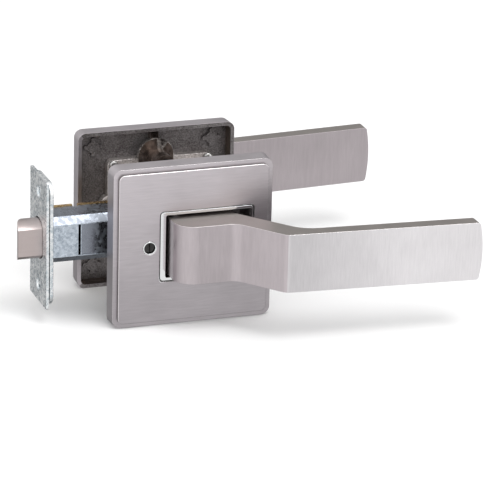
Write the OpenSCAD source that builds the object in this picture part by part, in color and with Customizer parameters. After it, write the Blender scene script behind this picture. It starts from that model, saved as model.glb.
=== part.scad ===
// Push-pull privacy lever set for an interior door, with its tubular latch.
// X runs from the door's edge to the lever tips, Y through the door from the
// outside to the inside, Z up. The origin is on the spindle's axis, in the
// middle of the door's thickness.

/* [Door] */
// Thickness of the door between the two roses
door_t = 43; // [42:0.1:52]
// Distance from the door's edge to the spindle
backset = 60; // [58:0.5:75]
// How far the latch lies towards the outside from the middle of the door
latch_offset = 4.9; // [3:0.1:5]

/* [Rose] */
// Width and height of the square rose
rose_w = 70; // [68:0.5:84]
// Height of the rose's outer edge above the door
rose_edge_t = 7.5; // [7.2:0.1:9]
// Height of the front panel above the rose's edge
panel_rise = 1.5; // [0.8:0.1:2]
// Width of the border round the front panel
border_w = 2.3; // [1.8:0.1:3]
// Radius of the rose's corners
rose_r = 3.5; // [3:0.1:5]
// Thickness of the rose's side walls
rose_wall = 1.7; // [1.3:0.1:2]
// Depth of the hollow behind the rose
hollow_d = 6.6; // [6.2:0.1:6.8]
// Width of the lever window
window_w = 41.2; // [40:0.1:43]
// Room above and below the lever in its window
lever_side_gap = 1.1; // [0.6:0.1:1.5]
// Distance of the window's middle from the spindle
window_x = 5.8; // [5.4:0.1:6.2]
// Radius of the emergency release hole
release_r = 2.9; // [2.7:0.05:3.2]
// Distance of the privacy spindle from the lever spindle
privacy_x = 19.2; // [19:0.1:21]
// Radius of a bolt post
post_r = 4.5; // [4.2:0.1:4.7]
// How far a bolt post reaches into the door
post_reach = 12; // [8:0.5:14]

/* [Lever] */
// Height of the lever
lever_h = 25.2; // [22:0.02:30.3]
// Distance from the spindle to the lever's tip
lever_tip_x = 113.7; // [95:0.1:140]
// How far the middle of the lever's end bows out
tip_bow = 1.3; // [0.6:0.1:2]
// Thickness of the blade
blade_t = 6.8; // [5:0.1:8]
// Distance from the door to the blade's front at its root
blade_root_d = 42.4; // [40:0.1:46]
// Distance from the door to the blade's front at its tip
blade_tip_d = 49; // [46:0.1:56]
// Distance from the door to the hub's front
hub_d = 23.1; // [21:0.1:26]
// Distance from the pivot pin to the left side of the hub
hub_reach = 4; // [3.6:0.1:4.2]
// Distance from the spindle to the pivot pin
pivot_x = 7; // [6.6:0.1:7.2]
// Distance from the door out to the pivot pin
pivot_d = 4.4; // [4.3:0.05:4.7]
// Radius of the pivot pin
pivot_r = 1.5; // [1.3:0.05:1.6]
// How far the lever swings, in degrees
lever_swing = 12; // [6:0.5:12]

/* [Spindle] */
// Width across the flats of the square spindle
spindle_w = 8; // [7:0.1:8.5]
// Degrees that the spindle turns for each degree of the lever
spindle_ratio = 3; // [2.5:0.1:3]
// Radius of the drive barrel
barrel_r = 7; // [6.8:0.1:7.4]
// Radius of the crank pin on the barrel
crank_pin_r = 1.1; // [0.9:0.05:1.2]
// Distance of the crank pin from the spindle's axis
crank_r = 2.3; // [2:0.05:2.5]

/* [Latch] */
// Height of the faceplate
plate_h = 56; // [54:0.5:62]
// Width of the faceplate
plate_w = 25; // [24:0.5:28]
// Distance between the faceplate's screw holes
plate_hole_gap = 41; // [40:0.5:43]
// Radius of a faceplate screw hole
plate_hole_r = 2.3; // [2:0.1:2.5]
// Thickness of the latch case through the door
case_w = 15; // [12.5:0.1:15]
// Height of the latch case
case_h = 20; // [20:0.1:21]
// Chamfer along the latch case
case_chamfer = 2.9; // [2.4:0.1:3]
// Distance from the spindle to the latch case's inner end
case_end = 14; // [12:0.5:20]
// How far the latch bolt stands out of the faceplate
bolt_throw = 10.4; // [9:0.1:11]
// Radius of the latch bolt's rounded top and bottom
bolt_round_r = 8.5; // [8:0.1:8.6]

/* [Hidden] */
$fn = 64;

fit = 0.06;                     // running clearance of a shaft in its hole
gap = 0.3;                      // clearance between parts that pass each other
face_d = rose_edge_t + panel_rise;
panel_w = rose_w - 2 * border_w;
panel_r = rose_r - 1;
hollow_w = rose_w - 2 * rose_wall;
hollow_r = rose_r - 1.2;

// Bezel in the window
bezel_left = 2.7;
bezel_right = 0.9;
bezel_side = 1.7;
window_h = lever_h + 2 * (bezel_side + lever_side_gap);
window_r = 1.6;
bezel_gap = 0.35;
bezel_back = hollow_d;
bezel_front = face_d - 0.3;

// Housing behind the window
flange_t = 4;
flange_r = 3;
flange_left = 21.1;
cavity_wall = 1.2;
cavity_gap = 1.6;               // between the lever's hub and the cavity's end
cavity_left = pivot_x + hub_reach + cavity_gap;
cavity_right = window_x + window_w / 2 - bezel_right - 0.2;
cavity_h = lever_h + 4;
flange_right = cavity_right + cavity_wall + 0.1;
lug_r = 5.4;                    // of the flange's lug round the privacy spindle
box_wall = 2.2;                 // above and below the cavity
box_h = cavity_h + 2 * box_wall;
cavity_depth = 5.6;             // into the door
floor_t = 2;
screw_inset = 2.6;
screw_r = 1.2;
screw_head_r = 2;
screw_head_t = 1.4;
screw_x = [-flange_left + screw_inset, flange_right - screw_inset];
screw_z = box_h / 2 + screw_head_r + 0.2;
flange_h = 2 * (screw_z + screw_head_r);

// Return spring, between the lever and the top of the cavity
return_gap = 0.15;
return_wire_r = 0.2;
return_coil_r = pivot_r + 0.15 + return_wire_r;

// Low corner bosses of the rose, which stay outside the housing's flange
boss_r = 2.7;
lobe_r = 1.1;
lobe_at = 3.2;
lobe_web = 1.2;
boss_at = max(rose_w / 2 - 8.4, flange_h / 2 + lobe_at + lobe_r + gap);
boss_h = 1.2;
ring_r = 8;
ring_t = 1.6;
rib_half = 1.7;                 // of the rib between a post's ring and the rose's wall
rib_end = 3;

// Through-bolts, whose posts clear the housing box
post_gap = 0.6;
bolt_z = box_h / 2 + post_gap + post_r;
bolt_r = 2.4;
bolt_hole_r = bolt_r + gap;
bolt_head_r = 4;
bolt_head_t = 2.2;

// Drive barrels, which reach from the housings almost to the latch
cover_t = 1.6;
barrel_gap = 0.6;
barrel_front = cavity_depth;
outer_barrel_len = door_t / 2 - barrel_front - (case_w / 2 + latch_offset) - barrel_gap;
inner_barrel_len = door_t / 2 - barrel_front - (case_w / 2 - latch_offset + cover_t) - barrel_gap;
outer_socket = 2;
inner_socket = 8;
barrels_apart = door_t - 2 * barrel_front - outer_barrel_len - inner_barrel_len;
spindle_len = barrels_apart + outer_socket + inner_socket - 1;
crank_turn = lever_swing * spindle_ratio / 2;
crank_tip = -0.4;
groove_r = barrel_r - 0.7;
clip_r = barrel_r + 0.9;
clip_t = 0.8;
clip_gap = 0.15;
clip_d = barrel_front + floor_t + clip_gap;
heel_end = 3.2;
heel_half = 2.6;
tip_corner_r = 1.4;             // of the lever's end, seen from the front
slot_half = crank_pin_r + 0.75;
slot_end = 2.8;

// Privacy parts
blade_w = 4;
blade_thick = 2;
turn_base_r = 3.1;
turn_len = 11;
turn_out = 9;
turn_t = 3.2;

// Latch
latch_y = -latch_offset;
plate_t = 1.2;
sink_d = 0.6;                   // countersink of the faceplate's holes
plate_gap = 0.4;
flange_plate_t = 1.6;
case_x = -backset + plate_t + plate_gap + flange_plate_t;
case_wall = 0.9;
bolt_gap = 0.4;
bolt_half = case_w / 2 - case_wall - bolt_gap;
cover_y = latch_y + case_w / 2;
bolt_back = -backset + 14;
bolt_plate_t = 1.2;             // plate that joins the rails behind the bolt
rail_z = 7;
rail_top = 8.5;
rail_in = 2.4;
rail_out = case_w / 2 - 3;
spring_stop_x = -27;            // wall of the case that the bolt spring pushes on
spring_stop_t = 1.4;
hub_r = 6.4;
hub_arm_r = 8.4;
hub_arm_half = 1.4;
hub_half = 2;
hub_side_gap = 0.2;             // between the hub and each wall of the case
hub_hole_r = hub_r - 0.6;
cam_r = 4.4;
cam_hole_r = 3.2;

// Cuts and rivets of the case, from the faceplate's front
slot_at = 15.3;
slot_w = 1;
recess_at = 16.7;
recess_depth = 0.4;
cut_h = 13.4;
notch_at = 17;
notch_w = 2.4;
rivet_x = [-34, 10];
rivet_z = [-8.2, 8.2];
rivet_r = 0.9;
rivet_head_r = 1.5;
rivet_head_t = 0.5;

// ---------- shared shapes ----------

// Rectangle with round corners, centred
module round_rect(w, h, r) {
  square([w - 2 * r, h], center = true);
  square([w, h - 2 * r], center = true);
  for (sx = [-1, 1], sy = [-1, 1])
    translate([sx * (w / 2 - r), sy * (h / 2 - r)]) circle(r);
}

// Extrudes an X-Z outline between two distances out from the door
module between(from, to)
  translate([0, -from, 0]) rotate([90, 0, 0]) linear_extrude(to - from) children();

// Extrudes a Y-Z outline between two X places
module along_x(from, to)
  translate([from, 0, 0]) rotate([90, 0, 90]) linear_extrude(to - from) children();

// Round bar along Y between two distances out from the door
module peg(x, z, r, from, to) between(from, to) translate([x, z]) circle(r);

// Unit vector from a to b
function unit(a, b) = (b - a) / norm(b - a);

// Arc that rounds corner p, between its neighbours a and b, with n steps
function corner(a, p, b, r, n) =
  let (u = unit(p, a), v = unit(p, b),
       half = acos(u * v) / 2,
       mid = unit([0, 0], u + v),
       c = p + mid * r / sin(half),
       start = p + u * r / tan(half) - c,
       turn = 180 - 2 * half,
       way = sign(u[0] * v[1] - u[1] * v[0]))
  [for (i = [0 : n]) let (t = -way * turn * i / n)
    c + [start[0] * cos(t) - start[1] * sin(t), start[0] * sin(t) + start[1] * cos(t)]];

// Closed outline whose corners are [x, y, radius]
function rounded(pts, n) =
  [for (i = [0 : len(pts) - 1])
    let (a = pts[(i + len(pts) - 1) % len(pts)], p = pts[i], b = pts[(i + 1) % len(pts)])
    each corner([a[0], a[1]], [p[0], p[1]], [b[0], b[1]], p[2], n)];

// Coil spring round the Z axis, with closed ends
function ring_points(c, u, v, r, n) =
  [for (k = [0 : n - 1]) c + r * (cos(360 * k / n) * u + sin(360 * k / n) * v)];
module coil(coil_r, wire_r, turns, height) {
  steps = 20;
  sides = 8;
  total = turns * steps;
  rings = [for (i = [0 : total]) let (a = 360 * i / steps)
    each ring_points([coil_r * cos(a), coil_r * sin(a), wire_r + (height - 2 * wire_r) * i / total],
                     [cos(a), sin(a), 0], [0, 0, 1], wire_r, sides)];
  walls = [for (i = [0 : total - 1], k = [0 : sides - 1])
    let (a = i * sides + k, b = i * sides + (k + 1) % sides)
    each [[a, b, b + sides], [a, b + sides, a + sides]]];
  first = [for (k = [sides - 1 : -1 : 0]) k];
  last = [for (k = [0 : sides - 1]) total * sides + k];
  polyhedron(rings, concat([first], walls, [last]));
}

// Puts a part made for the outside, with the door's face at y = 0, on each side
module on_outside() translate([0, -door_t / 2, 0]) children();
module on_inside() translate([0, door_t / 2, 0]) mirror([0, 1, 0]) children();
module on_inside_turned() translate([0, door_t / 2, 0]) rotate([180, 0, 0]) children();

// ---------- rose and what is fixed to it ----------

module clover() {
  circle(boss_r);
  for (a = [0 : 90 : 270]) rotate(a) translate([lobe_at, 0]) circle(lobe_r);
  square([2 * lobe_at, lobe_web], center = true);
  square([lobe_web, 2 * lobe_at], center = true);
}

module housing_box(extra)
  translate([(cavity_right - cavity_left) / 2, 0])
    square([cavity_left + cavity_right + 2 * cavity_wall + extra, box_h + extra], center = true);

module rose(hole_r, head_holes) {
  difference() {
    union() {
      between(0, rose_edge_t) round_rect(rose_w, rose_w, rose_r);
      between(rose_edge_t - 1, face_d) round_rect(panel_w, panel_w, panel_r);
    }
    between(-1, hollow_d) round_rect(hollow_w, hollow_w, hollow_r);
    between(hollow_d - 1, face_d + 1) translate([window_x, 0]) round_rect(window_w, window_h, window_r);
    peg(-privacy_x, 0, hole_r, hollow_d - 1, face_d + 1);
    for (x = screw_x, z = [-1, 1] * screw_z) peg(x, z, screw_r + fit, hollow_d - 1, hollow_d + 1.2);
    if (head_holes) for (z = [-1, 1] * bolt_z) {
      peg(0, z, bolt_hole_r, hollow_d - 1, face_d + 1);
      peg(0, z, bolt_head_r + gap, face_d - bolt_head_t, face_d + 1);
    }
  }
  between(hollow_d - boss_h, hollow_d)
    for (sx = [-1, 1], sz = [-1, 1]) translate([sx * boss_at, sz * boss_at]) clover();
  rib_from = bolt_z + ring_r - 1;
  between(rib_end, hollow_d) for (sz = [-1, 1])
    translate([0, sz * (rib_from + hollow_w / 2) / 2])
      square([2 * rib_half, hollow_w / 2 - rib_from + 0.4], center = true);
  hole = head_holes ? bolt_hole_r : bolt_r + fit;
  for (z = [-1, 1] * bolt_z) difference() {
    union() {
      peg(0, z, post_r, -post_reach, hollow_d);
      between(hollow_d - flange_t - ring_t, hollow_d - flange_t) translate([0, z]) circle(ring_r);
    }
    peg(0, z, hole, -post_reach - 1, hollow_d + (head_holes ? 1 : -1));
    between(-post_reach - 1, hollow_d + 1) housing_box(0.2);
  }
}

module bezel() between(bezel_back, bezel_front) difference() {
  translate([window_x, 0]) round_rect(window_w - 2 * bezel_gap, window_h - 2 * bezel_gap, window_r - 0.15);
  translate([window_x + (bezel_left - bezel_right) / 2, 0])
    round_rect(window_w - bezel_left - bezel_right, window_h - 2 * bezel_side, 0.8);
}

module cavity_outline()
  translate([(cavity_right - cavity_left) / 2, 0])
    square([cavity_left + cavity_right, cavity_h], center = true);

module housing() difference() {
  union() {
    between(hollow_d - flange_t, hollow_d) {
      translate([(flange_right - flange_left) / 2, 0])
        round_rect(flange_left + flange_right, flange_h, flange_r);
      translate([-privacy_x, 0]) circle(lug_r);
    }
    between(-cavity_depth - floor_t, hollow_d - flange_t) housing_box(0);
  }
  between(-cavity_depth, hollow_d + 1) cavity_outline();
  peg(0, 0, barrel_r + fit, -cavity_depth - floor_t - 1, -cavity_depth + 1);
  peg(-privacy_x, 0, turn_base_r + gap, hollow_d - flange_t - 1, hollow_d + 1);
  for (z = [-1, 1] * bolt_z) peg(0, z, post_r + 0.15, hollow_d - flange_t - 1, hollow_d + 1);
  for (x = screw_x, z = [-1, 1] * screw_z) peg(x, z, screw_r + 0.2, hollow_d - flange_t - 1, hollow_d + 1);
  translate([-pivot_x, -pivot_d, 0]) cylinder(r = pivot_r + fit / 2, h = box_h + 2.4, center = true);
}

module housing_screws() for (x = screw_x, z = [-1, 1] * screw_z) difference() {
  union() {
    peg(x, z, screw_r, hollow_d - flange_t, hollow_d + 1);
    peg(x, z, screw_head_r, hollow_d - flange_t - screw_head_t, hollow_d - flange_t);
  }
  between(hollow_d - flange_t - screw_head_t - 1, hollow_d - flange_t - screw_head_t + 0.8)
    translate([x, z]) for (a = [0, 90]) rotate(a) square([2.4, 0.6], center = true);
}

module pivot_pin()
  translate([-pivot_x, -pivot_d, 0]) cylinder(r = pivot_r, h = box_h + 2, center = true);

module return_spring()
  translate([-pivot_x, -pivot_d, lever_h / 2 + return_gap])
    coil(return_coil_r, return_wire_r, 2, (cavity_h - lever_h) / 2 - 2 * return_gap);

// ---------- lever ----------

// Plan of the lever: the first two numbers of each corner are X and the distance out
function lever_plan() = [
  [-pivot_x - hub_reach, -pivot_d + hub_reach, hub_reach - 0.1],
  [-pivot_x - hub_reach, -hub_d, 9],
  [14, -hub_d, 6],
  [29.4, -blade_root_d, 4],
  [lever_tip_x + 2, -blade_tip_d, 0.5],
  [lever_tip_x + 2, -blade_tip_d + blade_t, 0.5],
  [38.5, -blade_root_d + blade_t - 0.8, 14],
  [17.5, -face_d - 1, 7],
  [16, -pivot_d + hub_reach - 1, 1.5]
];

// Points of an arc with n steps, without its two ends when open is 1
function arc(c, r, from, to, n, open = 0) =
  [for (i = [open : n - open]) let (a = from + (to - from) * i / n) c + r * [cos(a), sin(a)]];

// Side view of the lever, whose end is a shallow arc between two small round corners
module lever_side() {
  bow_r = (pow(lever_h / 2, 2) + pow(tip_bow, 2)) / (2 * tip_bow);
  middle = [lever_tip_x - bow_r, 0];
  corner_z = lever_h / 2 - tip_corner_r;
  turn = asin(corner_z / (bow_r - tip_corner_r));
  corner_x = middle[0] + (bow_r - tip_corner_r) * cos(turn);
  polygon(concat(
    [[-lever_tip_x, -lever_h / 2]],
    arc([corner_x, -corner_z], tip_corner_r, -90, -turn, 8),
    arc(middle, bow_r, -turn, turn, 16, 1),
    arc([corner_x, corner_z], tip_corner_r, turn, 90, 8),
    [[-lever_tip_x, lever_h / 2]]
  ));
}

// way is 1 outside and -1 inside, where the crank starts on the other side
module lever(way) difference() {
  union() {
    intersection() {
      linear_extrude(lever_h, center = true) polygon(rounded(lever_plan(), 10));
      between(-heel_end - 1, blade_tip_d + 1) lever_side();
    }
    translate([-way * crank_r * sin(crank_turn) - heel_half, -pivot_d + 1, -lever_h / 2 + 4])
      cube([2 * heel_half, pivot_d - 1 + heel_end, lever_h - 8]);
  }
  translate([-pivot_x, -pivot_d, 0]) cylinder(r = pivot_r + fit, h = lever_h + 2, center = true);
  translate([-way * crank_r * sin(crank_turn) - slot_half, -slot_end, 0.4])
    cube([2 * slot_half, slot_end + heel_end + 1, 4.2]);
}

// ---------- spindle ----------

module drive_barrel(way, length, socket) {
  at = [-way * crank_r * sin(crank_turn), crank_r * cos(crank_turn)];
  difference() {
    peg(0, 0, barrel_r, -barrel_front - length, -barrel_front);
    between(-barrel_front - length - 1, -barrel_front - length + socket)
      square(spindle_w + 0.1, center = true);
    difference() {
      peg(0, 0, barrel_r + 1, -clip_d - clip_t, -clip_d);
      peg(0, 0, groove_r, -clip_d - 2, -clip_d + 1);
    }
  }
  peg(at[0], at[1], crank_pin_r, -barrel_front, -crank_tip);
}

module circlip() between(-clip_d - clip_t, -clip_d)
  difference() {
    circle(clip_r);
    circle(groove_r);
    translate([0, -clip_r]) square([5, 2 * clip_r], center = true);
  }

// ---------- latch ----------

module bolt_outline(grow) translate([latch_y, 0]) intersection() {
  circle(bolt_round_r + grow);
  square([2 * (bolt_half + grow), 2 * (bolt_round_r + grow)], center = true);
}

module case_outline(inset) {
  w = case_w / 2 - inset;
  h = case_h / 2 - inset;
  c = case_chamfer - inset * 0.6;
  translate([latch_y, 0])
    polygon([[-w, -h + c], [-w + c, -h], [w, -h], [w, h], [-w + c, h], [-w, h - c]]);
}

module plate_holes(r) for (z = [-1, 1] * plate_hole_gap / 2) translate([latch_y, z]) circle(r);

// ---------- nodes, outside ----------

module outer_rose() color("silver") on_outside() rose(release_r, false);
module outer_bezel() color("gainsboro") on_outside() bezel();
module release_ferrule() color("white") on_outside() between(hollow_d - 0.6, face_d + 0.1)
  translate([-privacy_x, 0]) difference() {
    circle(release_r);
    circle(release_r - 0.5);
  }
module outer_housing() color("dimgray") on_outside() housing();
module outer_housing_screws() color("gray") on_outside() housing_screws();
module outer_lever() color("silver") on_outside() lever(1);
module outer_pivot_pin() color("gray") on_outside() pivot_pin();
module outer_return_spring() color("slategray") on_outside() return_spring();
module outer_drive_barrel() color("dimgray") on_outside() drive_barrel(1, outer_barrel_len, outer_socket);
module outer_circlip() color("black") on_outside() circlip();

// ---------- nodes, inside ----------

module inner_rose() color("silver") on_inside() rose(turn_base_r + gap, true);
module inner_bezel() color("gainsboro") on_inside() bezel();
module inner_housing() color("dimgray") on_inside() housing();
module inner_housing_screws() color("gray") on_inside() housing_screws();
module inner_lever() color("silver") on_inside_turned() lever(-1);
module inner_pivot_pin() color("gray") on_inside() pivot_pin();
module inner_return_spring() color("slategray") on_inside() return_spring();
module inner_drive_barrel() color("dimgray") on_inside_turned()
  drive_barrel(-1, inner_barrel_len, inner_socket);
module inner_circlip() color("black") on_inside() circlip();

module through_bolts() color("gainsboro") on_inside() for (z = [-1, 1] * bolt_z) difference() {
  union() {
    peg(0, z, bolt_head_r, face_d - bolt_head_t, face_d);
    peg(0, z, bolt_r, -door_t - hollow_d + 2, face_d - bolt_head_t);
  }
  between(face_d - 1.2, face_d + 1) translate([0, z])
    for (a = [0, 90]) rotate(a) square([4.4, 1], center = true);
}

// ---------- nodes that turn or cross the door ----------

module square_spindle() color("gray")
  translate([-spindle_w / 2, -door_t / 2 + barrel_front + outer_barrel_len - outer_socket, -spindle_w / 2])
    cube([spindle_w, spindle_len, spindle_w]);

module thumb_turn() color("silver") on_inside() difference() {
  union() {
    peg(-privacy_x, 0, turn_base_r, hollow_d - flange_t, face_d + 1.5);
    between(face_d + 1, face_d + turn_out) translate([-privacy_x, 0]) round_rect(turn_t, turn_len, 1.5);
  }
  between(hollow_d - flange_t - 1, face_d - 1)
    translate([-privacy_x, 0]) square([blade_thick + 0.1, blade_w + 0.1], center = true);
}

module thumb_turn_washer() color("gray") on_inside() between(hollow_d - flange_t - 0.8, hollow_d - flange_t)
  translate([-privacy_x, 0]) difference() {
    circle(4.2);
    square([blade_thick + 0.1, blade_w + 0.1], center = true);
  }

module privacy_spindle() color("gray")
  translate([-privacy_x - blade_thick / 2, -door_t / 2 - hollow_d + 1, -blade_w / 2])
    cube([blade_thick, door_t + hollow_d + face_d - 2.5, blade_w]);

module release_slot_pin() color("gray") on_outside() difference() {
  peg(-privacy_x, 0, release_r - 0.7, hollow_d - 3.4, face_d - 1.2);
  between(face_d - 2, face_d) translate([-privacy_x, 0]) square([1, 2 * release_r], center = true);
  between(hollow_d - 4, hollow_d - 0.9)
    translate([-privacy_x, 0]) square([blade_thick + 0.1, blade_w + 0.1], center = true);
}

// ---------- nodes, latch ----------

module latch_faceplate() color("lightsteelblue") difference() {
  along_x(-backset, -backset + plate_t) difference() {
    translate([latch_y, 0]) round_rect(plate_w, plate_h, 0.8);
    bolt_outline(0.4);
    plate_holes(plate_hole_r);
  }
  for (z = [-1, 1] * plate_hole_gap / 2) translate([-backset, latch_y, z]) rotate([0, 90, 0])
    cylinder(r1 = plate_hole_r + sink_d, r2 = plate_hole_r, h = sink_d);
}

module latch_flange() color("lightsteelblue") {
  along_x(case_x - flange_plate_t, case_x) difference() {
    translate([latch_y, 0]) round_rect(plate_w - 1, plate_h - 2, 5);
    bolt_outline(0.4);
    plate_holes(plate_hole_r);
  }
  along_x(-backset + plate_t, case_x - flange_plate_t) difference() {
    plate_holes(4);
    plate_holes(plate_hole_r);
  }
}

module latch_case() color("lightgray") difference() {
  union() {
    difference() {
      along_x(case_x, case_end) case_outline(0);
      along_x(case_x - 1, case_end - case_wall) case_outline(case_wall);
      along_x(case_x - 1, case_end - case_wall)
        translate([cover_y - 1, 0]) square([4, case_h - 2 * case_wall], center = true);
    }
    along_x(spring_stop_x, spring_stop_x + spring_stop_t)
      translate([latch_y, 0]) square([case_w - 0.4, 2 * rail_z - 1.2], center = true);
  }
  near_y = latch_y - case_w / 2;
  // Vertical slot and shallow recess in the near face
  along_x(-backset + slot_at, -backset + slot_at + slot_w)
    translate([near_y, 0]) square([2 * case_wall + 0.2, cut_h], center = true);
  along_x(-backset + recess_at, case_end + 1)
    translate([near_y, 0]) square([2 * recess_depth, cut_h], center = true);
  latch_holes();
}

// Notch in the top and the round holes that the case and its cover share
module latch_holes() {
  translate([-backset + notch_at, cover_y - 1.2, case_h / 2 - 2]) cube([notch_w, 4, 4]);
  through_hole(0, 0, hub_hole_r);
  through_hole(-privacy_x, 0, cam_hole_r);
}

module through_hole(x, z, r)
  translate([x, 0, z]) rotate([90, 0, 0]) cylinder(r = r, h = 2 * door_t, center = true);

module latch_cover() color("goldenrod") difference() {
  along_x(case_x, case_end)
    translate([cover_y + cover_t / 2, 0]) square([cover_t, case_h + 0.8], center = true);
  latch_holes();
  for (x = rivet_x, z = rivet_z) through_hole(x, z, rivet_r + fit);
}

module case_rivets() color("gray") for (x = rivet_x, z = rivet_z)
  translate([x, cover_y + cover_t, z]) rotate([90, 0, 0]) {
    cylinder(r = rivet_r, h = cover_t);
    translate([0, 0, -rivet_head_t]) cylinder(r = rivet_head_r, h = rivet_head_t);
  }

module latch_bolt() color("tan") intersection() {
  along_x(-backset - bolt_throw, bolt_back) bolt_outline(0);
  translate([0, 0, -bolt_round_r]) linear_extrude(2 * bolt_round_r) union() {
    reach = 2 * bolt_half;
    intersection() {
      translate([-backset - bolt_throw + reach, latch_y - bolt_half]) circle(reach);
      translate([-backset - bolt_throw, latch_y - bolt_half]) square([reach, reach]);
    }
    translate([-backset - bolt_throw + reach, latch_y - bolt_half])
      square([bolt_back + backset + bolt_throw - reach, reach]);
  }
}

module bolt_tail() color("gray") {
  lug_x = -0.4;
  lug_t = 2;
  for (sz = [-1, 1], sy = [-1, 1])
    translate([bolt_back, latch_y + (sy > 0 ? rail_in : -rail_out), sz > 0 ? rail_z : -rail_top])
      cube([lug_x + lug_t - bolt_back, rail_out - rail_in, rail_top - rail_z]);
  translate([lug_x, latch_y - rail_out, rail_z]) cube([lug_t, 2 * rail_out, rail_top - rail_z]);
  translate([lug_x, latch_y - rail_out, -rail_top]) cube([lug_t, 2 * rail_out, rail_top - rail_z]);
  difference() {
    translate([bolt_back, latch_y - rail_out, -rail_top]) cube([bolt_plate_t, 2 * rail_out, 2 * rail_top]);
    translate([bolt_back - 1, latch_y, 0]) rotate([0, 90, 0]) cylinder(r = 2, h = 4);
  }
}

module bolt_spring() color("slategray")
  translate([bolt_back + bolt_plate_t, latch_y, 0]) rotate([0, 90, 0])
    coil(4.2, 0.45, 8, spring_stop_x - bolt_back - bolt_plate_t);

module latch_hub() color("dimgray") translate([0, latch_y, 0]) difference() {
  union() {
    rotate([90, 0, 0]) cylinder(r = hub_r, h = case_w - 2 * (case_wall + hub_side_gap), center = true);
    rotate([90, 0, 0]) cylinder(r = hub_hole_r - fit, h = case_w + 1, center = true);
    rotate([0, -crank_turn, 0])
      translate([-hub_arm_half, -hub_half, 0]) cube([2 * hub_arm_half, 2 * hub_half, hub_arm_r]);
  }
  cube([spindle_w + 0.1, 2 * case_w, spindle_w + 0.1], center = true);
}

module privacy_cam() color("dimgray") translate([-privacy_x, latch_y, 0]) difference() {
  union() {
    rotate([90, 0, 0]) cylinder(r = cam_r, h = case_w - 2 * (case_wall + hub_side_gap), center = true);
    translate([0, -2, -1.2]) cube([6, 4, 2.4]);
  }
  cube([blade_thick + 0.1, 2 * case_w, blade_w + 0.1], center = true);
}

outer_rose();
outer_bezel();
release_ferrule();
outer_housing();
outer_housing_screws();
outer_lever();
outer_pivot_pin();
outer_return_spring();
outer_drive_barrel();
outer_circlip();
inner_rose();
inner_bezel();
inner_housing();
inner_housing_screws();
inner_lever();
inner_pivot_pin();
inner_return_spring();
inner_drive_barrel();
inner_circlip();
through_bolts();
square_spindle();
thumb_turn();
thumb_turn_washer();
privacy_spindle();
release_slot_pin();
latch_faceplate();
latch_flange();
latch_case();
latch_cover();
case_rivets();
latch_bolt();
bolt_tail();
bolt_spring();
latch_hub();
privacy_cam();
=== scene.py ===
"""Push-pull lever handle set with its tubular latch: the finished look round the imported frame."""

import logging
import math
from dataclasses import dataclass, fields
from enum import Enum
from typing import Callable, NamedTuple, Sequence

import bmesh
import bpy
from mathutils import Matrix, Vector


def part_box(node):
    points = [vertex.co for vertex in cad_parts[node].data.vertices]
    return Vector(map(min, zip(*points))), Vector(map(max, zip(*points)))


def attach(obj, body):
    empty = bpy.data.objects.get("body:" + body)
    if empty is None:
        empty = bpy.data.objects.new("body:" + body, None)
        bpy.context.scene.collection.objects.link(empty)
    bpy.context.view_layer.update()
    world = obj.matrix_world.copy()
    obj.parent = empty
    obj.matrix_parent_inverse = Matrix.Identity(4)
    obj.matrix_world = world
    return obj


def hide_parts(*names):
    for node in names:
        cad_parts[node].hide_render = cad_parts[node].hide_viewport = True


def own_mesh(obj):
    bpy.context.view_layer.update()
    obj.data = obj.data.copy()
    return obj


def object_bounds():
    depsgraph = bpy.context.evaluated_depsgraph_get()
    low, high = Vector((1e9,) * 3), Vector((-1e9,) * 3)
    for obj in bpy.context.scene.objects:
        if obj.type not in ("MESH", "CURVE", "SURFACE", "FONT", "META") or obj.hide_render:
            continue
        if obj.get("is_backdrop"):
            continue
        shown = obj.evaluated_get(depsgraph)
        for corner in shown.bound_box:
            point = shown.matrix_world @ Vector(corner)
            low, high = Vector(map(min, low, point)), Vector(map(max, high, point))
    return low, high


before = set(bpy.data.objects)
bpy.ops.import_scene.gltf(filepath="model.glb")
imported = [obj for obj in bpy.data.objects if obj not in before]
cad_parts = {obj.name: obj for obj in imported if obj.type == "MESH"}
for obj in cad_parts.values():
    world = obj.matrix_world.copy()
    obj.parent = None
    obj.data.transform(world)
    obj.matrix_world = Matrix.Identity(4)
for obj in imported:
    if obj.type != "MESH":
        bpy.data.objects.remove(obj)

LOG = logging.getLogger("lever_set")
MM = 0.001
MERGE_DISTANCE = 2e-6
SLIVER = MERGE_DISTANCE / 4
FLAT_ANGLE = math.radians(0.4)
SMOOTH_ANGLE = math.radians(32)
CORNER_ANGLE = math.radians(50)
# How far a face may lie off a plane and still count as on it.
SLACK = 0.1 * MM
# Shares of a face's normal along an axis. A side face has less than SIDEWAYS. A rounded edge has a share
# between ROUND_FROM and ROUND_TO, and a face square to the axis has more.
SIDEWAYS = 0.5
ROUND_FROM = 0.35
ROUND_TO = 0.93

Socket = bpy.types.NodeSocket
Triple = tuple[float, float, float]
Colour = Triple
FaceTest = Callable[[Vector, Vector], bool]
EdgeTest = Callable[[Vector, Vector], bool]


class Side(Enum):
    """Which side of the door a piece is on."""

    OUTER = -1
    INNER = 1


class Grain(Enum):
    """The way that brushed lines run: how many times a mark is drawn out along X, Y and Z."""

    LEVEL = (14.0, 14.0, 1.0)
    UPRIGHT = (1.0, 6.0, 14.0)


# ---------- finishes ----------


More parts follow.
